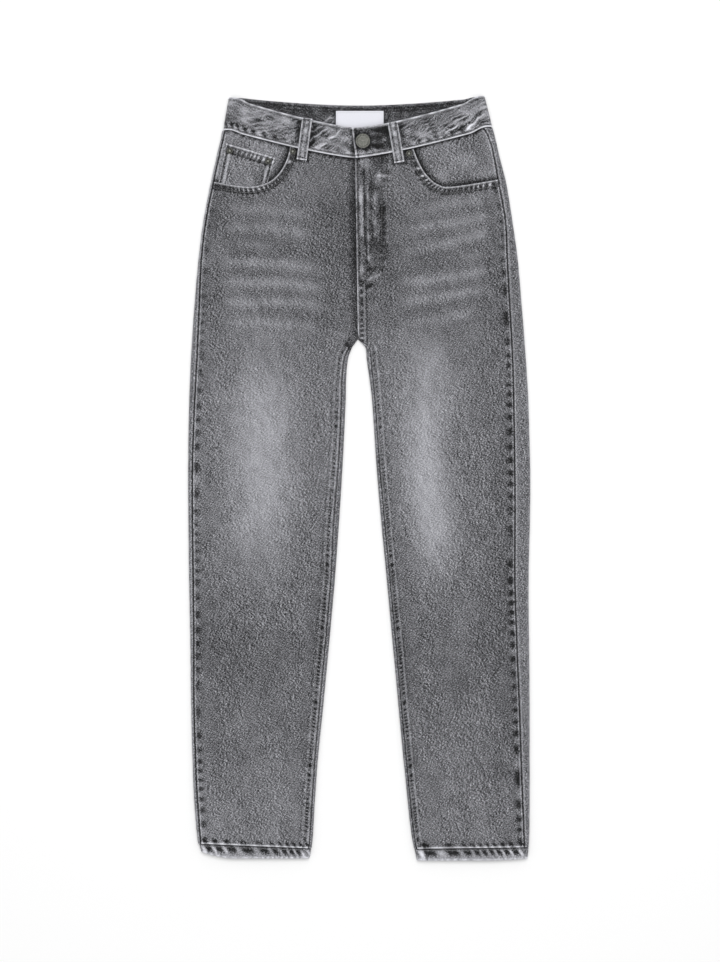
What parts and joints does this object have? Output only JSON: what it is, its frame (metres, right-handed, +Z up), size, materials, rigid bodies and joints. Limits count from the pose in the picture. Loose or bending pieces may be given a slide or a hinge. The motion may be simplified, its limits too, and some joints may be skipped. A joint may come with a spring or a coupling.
{
  "type": "denim trousers",
  "caption": "High-waisted straight tapered denim trousers with curved front pockets, coin pocket and buttoned waistband, laid flat on their back.",
  "frame": {"origin": "on the ground under the middle of the laid trousers' box", "axes": "+Z up from the ground to the front, +Y from the hems to the waist, +X to the wearer's left side"},
  "size_m": [0.4371, 0.977, 0.0133],
  "materials": {
    "denim": "washed mid grey twill with pale salt-and-pepper grain",
    "denim_worn": "the same grey twill, paler where folded edges are worn",
    "zip_tape": "dark woven tape",
    "woven_label": "smooth white woven label, blank",
    "aged_metal": "aged grey-green brass"
  },
  "bodies": {
    "root": {"front_right": "denim", "front_left": "denim", "back_right": "denim", "back_left": "denim", "yoke_right": "denim", "yoke_left": "denim", "pocket_facing_right": "denim", "pocket_facing_left": "denim", "coin_pocket": "denim", "back_pocket_right": "denim", "back_pocket_left": "denim", "hem_right": "denim_worn", "hem_left": "denim_worn", "waistband": "denim_worn", "belt_loop_front_right": "denim_worn", "belt_loop_front_left": "denim_worn", "belt_loop_back_right": "denim_worn", "belt_loop_back_centre": "denim_worn", "belt_loop_back_left": "denim_worn", "fly_zip": "zip_tape", "size_label": "woven_label", "button": "aged_metal", "rivet_pocket_right": "aged_metal", "rivet_pocket_left": "aged_metal", "rivet_coin_outer": "aged_metal", "rivet_coin_inner": "aged_metal"}
  },
  "joints": []
}
